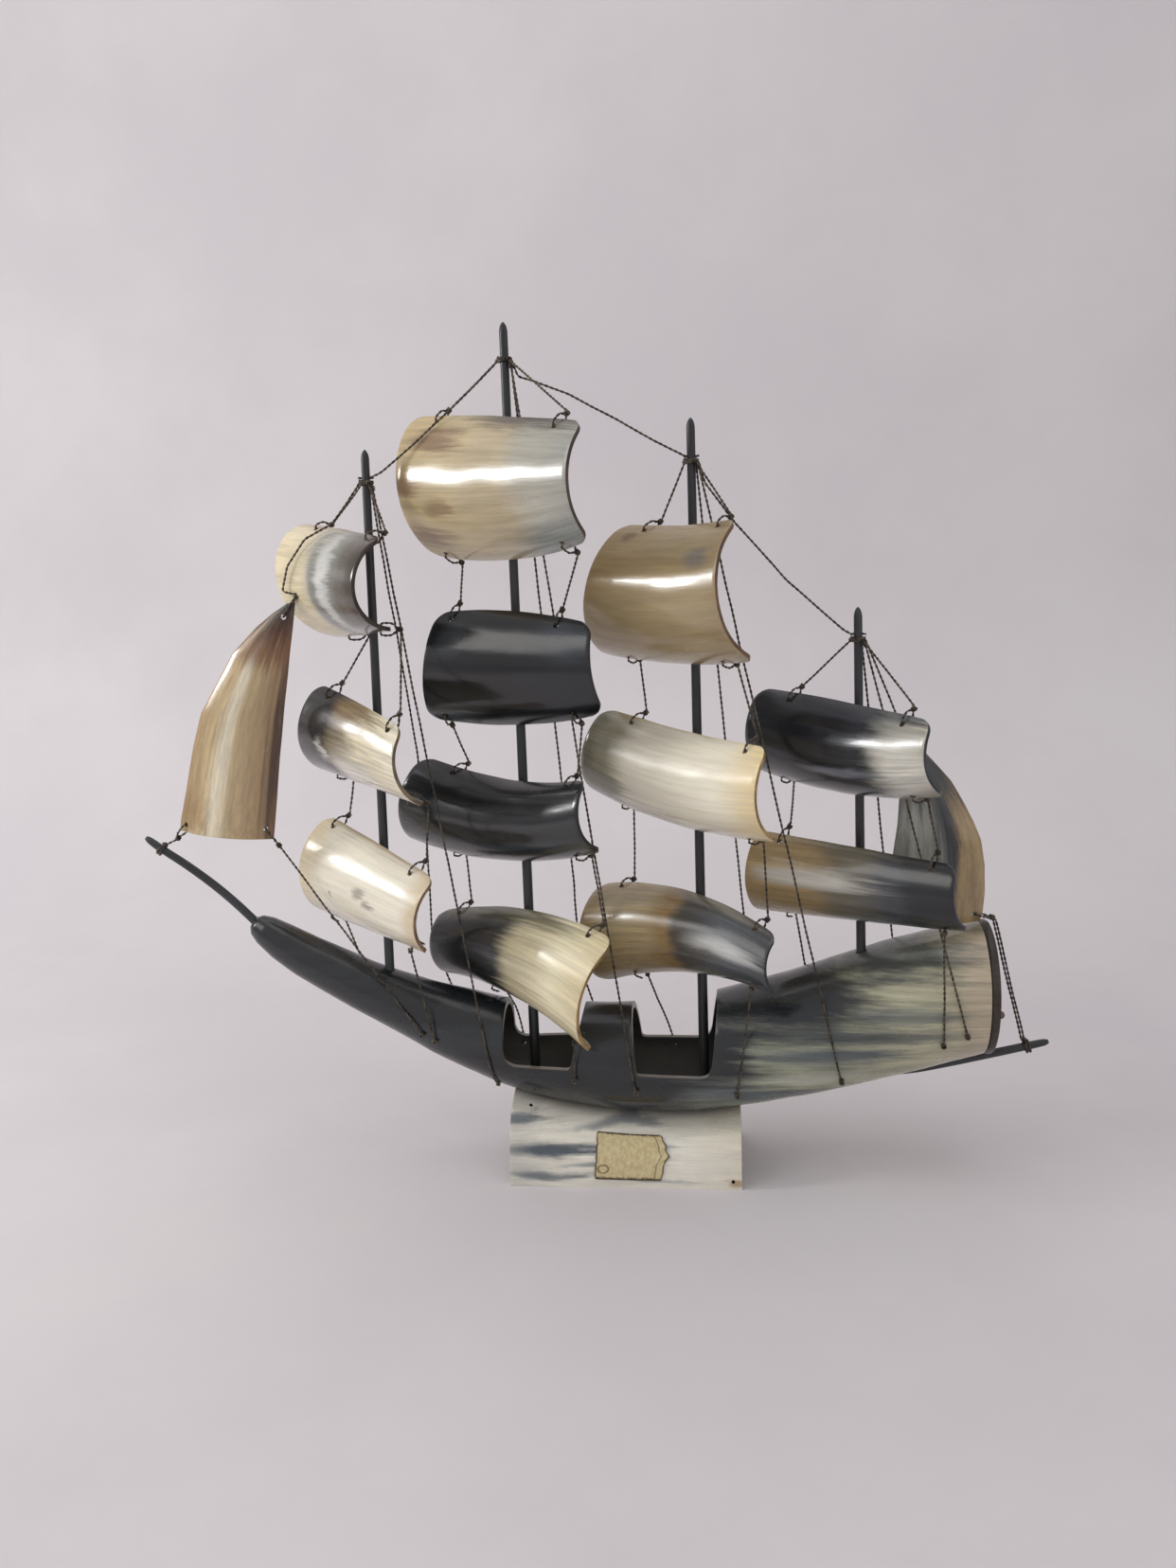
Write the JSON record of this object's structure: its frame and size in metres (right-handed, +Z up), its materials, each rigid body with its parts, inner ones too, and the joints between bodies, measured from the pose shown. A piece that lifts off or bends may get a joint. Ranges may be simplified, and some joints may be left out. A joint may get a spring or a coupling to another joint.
{
  "type": "decorative horn sailing ship",
  "caption": "Decorative tall ship carved from horn: curved shell sails wired to masts on a horn hull that rests on an arched horn stand.",
  "frame": {"origin": "middle of the whole object, on the table that the stand rests on", "axes": "+X towards the stern, -Y towards the side with the label, +Z up"},
  "size_m": [0.5418, 0.1186, 0.4969],
  "materials": {
    "hull_horn": "gloss",
    "cap_horn": "satin",
    "stand_horn": "gloss",
    "dark_sail_horn": "gloss",
    "pale_sail_horn": "gloss",
    "tan_sail_horn": "gloss",
    "mixed_sail_horn": "gloss",
    "mast_black": "satin",
    "rigging_wire": "dark oxide",
    "pin_metal": "satin",
    "label_paper": "matte"
  },
  "bodies": {
    "root": {"bowsprit": "mast_black", "foot_tie_f3_far": "rigging_wire", "foot_tie_f3_near": "rigging_wire", "foot_tie_m4_far": "rigging_wire", "foot_tie_m4_near": "rigging_wire", "foot_tie_n3_far": "rigging_wire", "foot_tie_n3_near": "rigging_wire", "foot_tie_z2_far": "rigging_wire", "foot_tie_z2_near": "rigging_wire", "fore_mast": "mast_black", "fore_rigging": "rigging_wire", "hull": "hull_horn", "jib": "tan_sail_horn", "jib_sheet": "rigging_wire", "jib_tack": "rigging_wire", "label": "label_paper", "main_mast": "mast_black", "main_rigging": "rigging_wire", "mizzen_mast": "mast_black", "mizzen_rigging": "rigging_wire", "sail_f3": "pale_sail_horn", "sail_m4": "mixed_sail_horn", "sail_n3": "mixed_sail_horn", "sail_z2": "mixed_sail_horn", "spanker_sheet": "rigging_wire", "stand": "stand_horn", "stern_boom": "mast_black", "stern_cap": "cap_horn", "stern_pin": "pin_metal", "third_mast": "mast_black", "third_rigging": "rigging_wire"},
    "swing_f1": {"sail_f1": "pale_sail_horn"},
    "link_f1_f2_left": {"link_f1_f2_left": "rigging_wire"},
    "link_f1_f2_right": {"link_f1_f2_right": "rigging_wire"},
    "swing_f2": {"sail_f2": "mixed_sail_horn"},
    "link_f2_f3_left": {"link_f2_f3_left": "rigging_wire"},
    "link_f2_f3_right": {"link_f2_f3_right": "rigging_wire"},
    "swing_m1": {"sail_m1": "tan_sail_horn"},
    "link_m1_m2_left": {"link_m1_m2_left": "rigging_wire"},
    "link_m1_m2_right": {"link_m1_m2_right": "rigging_wire"},
    "swing_m2": {"sail_m2": "dark_sail_horn"},
    "link_m2_m3_left": {"link_m2_m3_left": "rigging_wire"},
    "link_m2_m3_right": {"link_m2_m3_right": "rigging_wire"},
    "swing_m3": {"sail_m3": "dark_sail_horn"},
    "link_m3_m4_left": {"link_m3_m4_left": "rigging_wire"},
    "link_m3_m4_right": {"link_m3_m4_right": "rigging_wire"},
    "swing_n1": {"sail_n1": "tan_sail_horn"},
    "link_n1_n2_left": {"link_n1_n2_left": "rigging_wire"},
    "link_n1_n2_right": {"link_n1_n2_right": "rigging_wire"},
    "swing_n2": {"sail_n2": "pale_sail_horn"},
    "link_n2_n3_left": {"link_n2_n3_left": "rigging_wire"},
    "link_n2_n3_right": {"link_n2_n3_right": "rigging_wire"},
    "swing_z1": {"sail_z1": "dark_sail_horn"},
    "link_z1_z2_left": {"link_z1_z2_left": "rigging_wire"},
    "link_z1_z2_right": {"link_z1_z2_right": "rigging_wire"},
    "swing_spanker": {"spanker": "dark_sail_horn"}
  },
  "joints": [
    {"name": "swing_f1", "type": "hinge", "parent": "root", "child": "swing_f1", "pos_m": [-0.13091, 0.00065, 0.38407], "axis": [0.6805, -0.7233, -0.1172], "range_deg": [-1.5, 0.4]},
    {"name": "link_f1_f2_left", "type": "hinge", "parent": "swing_f1", "child": "link_f1_f2_left", "pos_m": [-0.13479, 0.01592, 0.32768], "axis": [0.6805, -0.7233, -0.1172], "range_deg": [-1, 3.5]},
    {"name": "link_f1_f2_right", "type": "hinge", "parent": "swing_f1", "child": "link_f1_f2_right", "pos_m": [-0.10723, -0.01518, 0.33158], "axis": [0.6805, -0.7233, -0.1172], "range_deg": [-0.8, 2.9]},
    {"name": "swing_f2", "type": "hinge", "parent": "root", "child": "swing_f2", "pos_m": [-0.12463, -0.01158, 0.2836], "axis": [0.7347, -0.6332, -0.2435], "range_deg": [-1.5, 0.4]},
    {"name": "link_f2_f3_left", "type": "hinge", "parent": "swing_f2", "child": "link_f2_f3_left", "pos_m": [-0.15086, 0.02788, 0.24293], "axis": [0.7347, -0.6332, -0.2435], "range_deg": [-1, 3.7]},
    {"name": "link_f2_f3_right", "type": "hinge", "parent": "swing_f2", "child": "link_f2_f3_right", "pos_m": [-0.09446, -0.02493, 0.23624], "axis": [0.7347, -0.6332, -0.2435], "range_deg": [-0.8, 2.8]},
    {"name": "swing_m1", "type": "hinge", "parent": "root", "child": "swing_m1", "pos_m": [-0.03848, -0.01014, 0.43946], "axis": [0.7767, -0.6199, -0.1118], "range_deg": [-1.5, 0.4]},
    {"name": "link_m1_m2_left", "type": "hinge", "parent": "swing_m1", "child": "link_m1_m2_left", "pos_m": [-0.07601, 0.02701, 0.37287], "axis": [0.7767, -0.6199, -0.1118], "range_deg": [-1.2, 4.2]},
    {"name": "link_m1_m2_right", "type": "hinge", "parent": "swing_m1", "child": "link_m1_m2_right", "pos_m": [-0.00026, -0.03344, 0.37636], "axis": [0.7767, -0.6199, -0.1118], "range_deg": [-0.9, 3.3]},
    {"name": "swing_m2", "type": "hinge", "parent": "root", "child": "swing_m2", "pos_m": [-0.03991, -0.00193, 0.33223], "axis": [0.9411, -0.3323, -0.0621], "range_deg": [-1.5, 0.4]},
    {"name": "link_m2_m3_left", "type": "hinge", "parent": "swing_m2", "child": "link_m2_m3_left", "pos_m": [-0.07919, 0.01575, 0.27932], "axis": [0.9411, -0.3323, -0.0621], "range_deg": [-1, 3.6]},
    {"name": "link_m2_m3_right", "type": "hinge", "parent": "swing_m2", "child": "link_m2_m3_right", "pos_m": [-0.0005, -0.01279, 0.28247], "axis": [0.9411, -0.3323, -0.0621], "range_deg": [-0.9, 3.1]},
    {"name": "swing_m3", "type": "hinge", "parent": "root", "child": "swing_m3", "pos_m": [-0.04202, 0.00015, 0.24086], "axis": [0.8155, -0.5788, -0.0016], "range_deg": [-1.5, 0.4]},
    {"name": "link_m3_m4_left", "type": "hinge", "parent": "swing_m3", "child": "link_m3_m4_left", "pos_m": [-0.08319, 0.03595, 0.19153], "axis": [0.8155, -0.5788, -0.0016], "range_deg": [-1, 3.4]},
    {"name": "link_m3_m4_right", "type": "hinge", "parent": "swing_m3", "child": "link_m3_m4_right", "pos_m": [-0.00049, -0.02318, 0.20297], "axis": [0.8155, -0.5788, -0.0016], "range_deg": [-0.8, 2.8]},
    {"name": "swing_n1", "type": "hinge", "parent": "root", "child": "swing_n1", "pos_m": [0.06153, -0.0041, 0.38019], "axis": [0.7606, -0.6491, 0.0096], "range_deg": [-1.5, 0.4]},
    {"name": "link_n1_n2_left", "type": "hinge", "parent": "swing_n1", "child": "link_n1_n2_left", "pos_m": [0.02851, 0.03288, 0.30937], "axis": [0.7606, -0.6491, 0.0096], "range_deg": [-1.1, 4.1]},
    {"name": "link_n1_n2_right", "type": "hinge", "parent": "swing_n1", "child": "link_n1_n2_right", "pos_m": [0.08353, -0.01339, 0.30953], "axis": [0.7606, -0.6491, 0.0096], "range_deg": [-1, 3.7]},
    {"name": "swing_n2", "type": "hinge", "parent": "root", "child": "swing_n2", "pos_m": [0.0623, -0.00122, 0.26431], "axis": [0.7775, -0.6184, -0.1146], "range_deg": [-1.5, 0.4]},
    {"name": "link_n2_n3_left", "type": "hinge", "parent": "swing_n2", "child": "link_n2_n3_left", "pos_m": [0.02207, 0.03839, 0.21973], "axis": [0.7775, -0.6184, -0.1146], "range_deg": [-0.8, 3]},
    {"name": "link_n2_n3_right", "type": "hinge", "parent": "swing_n2", "child": "link_n2_n3_right", "pos_m": [0.09686, -0.01995, 0.21086], "axis": [0.7775, -0.6184, -0.1146], "range_deg": [-0.8, 3]},
    {"name": "swing_z1", "type": "hinge", "parent": "root", "child": "swing_z1", "pos_m": [0.14994, -0.00317, 0.27723], "axis": [0.6798, -0.7286, -0.0837], "range_deg": [-1.5, 0.4]},
    {"name": "link_z1_z2_left", "type": "hinge", "parent": "swing_z1", "child": "link_z1_z2_left", "pos_m": [0.11814, 0.04514, 0.23355], "axis": [0.6798, -0.7286, -0.0837], "range_deg": [-0.8, 3]},
    {"name": "link_z1_z2_right", "type": "hinge", "parent": "swing_z1", "child": "link_z1_z2_right", "pos_m": [0.1847, -0.02805, 0.23528], "axis": [0.6798, -0.7286, -0.0837], "range_deg": [-0.8, 3]},
    {"name": "swing_spanker", "type": "hinge", "parent": "root", "child": "swing_spanker", "pos_m": [0.19119, 0.01312, 0.25154], "axis": [0.3419, -0.0109, -0.9397], "range_deg": [-6, 6]}
  ],
  "couplings": [
    {"joint": "link_f1_f2_left", "follows": "swing_f1", "ratio": -2.287},
    {"joint": "link_f1_f2_right", "follows": "swing_f1", "ratio": -1.885},
    {"joint": "link_f2_f3_left", "follows": "swing_f2", "ratio": -2.427},
    {"joint": "link_f2_f3_right", "follows": "swing_f2", "ratio": -1.849},
    {"joint": "link_m1_m2_left", "follows": "swing_m1", "ratio": -2.753},
    {"joint": "link_m1_m2_right", "follows": "swing_m1", "ratio": -2.168},
    {"joint": "link_m2_m3_left", "follows": "swing_m2", "ratio": -2.368},
    {"joint": "link_m2_m3_right", "follows": "swing_m2", "ratio": -1.995},
    {"joint": "link_m3_m4_left", "follows": "swing_m3", "ratio": -2.234},
    {"joint": "link_m3_m4_right", "follows": "swing_m3", "ratio": -1.794},
    {"joint": "link_n1_n2_left", "follows": "swing_n1", "ratio": -2.692},
    {"joint": "link_n1_n2_right", "follows": "swing_n1", "ratio": -2.398},
    {"joint": "link_n2_n3_left", "follows": "swing_n2", "ratio": -1.946},
    {"joint": "link_n2_n3_right", "follows": "swing_n2", "ratio": -1.934},
    {"joint": "link_z1_z2_left", "follows": "swing_z1", "ratio": -1.955},
    {"joint": "link_z1_z2_right", "follows": "swing_z1", "ratio": -1.963}
  ]
}
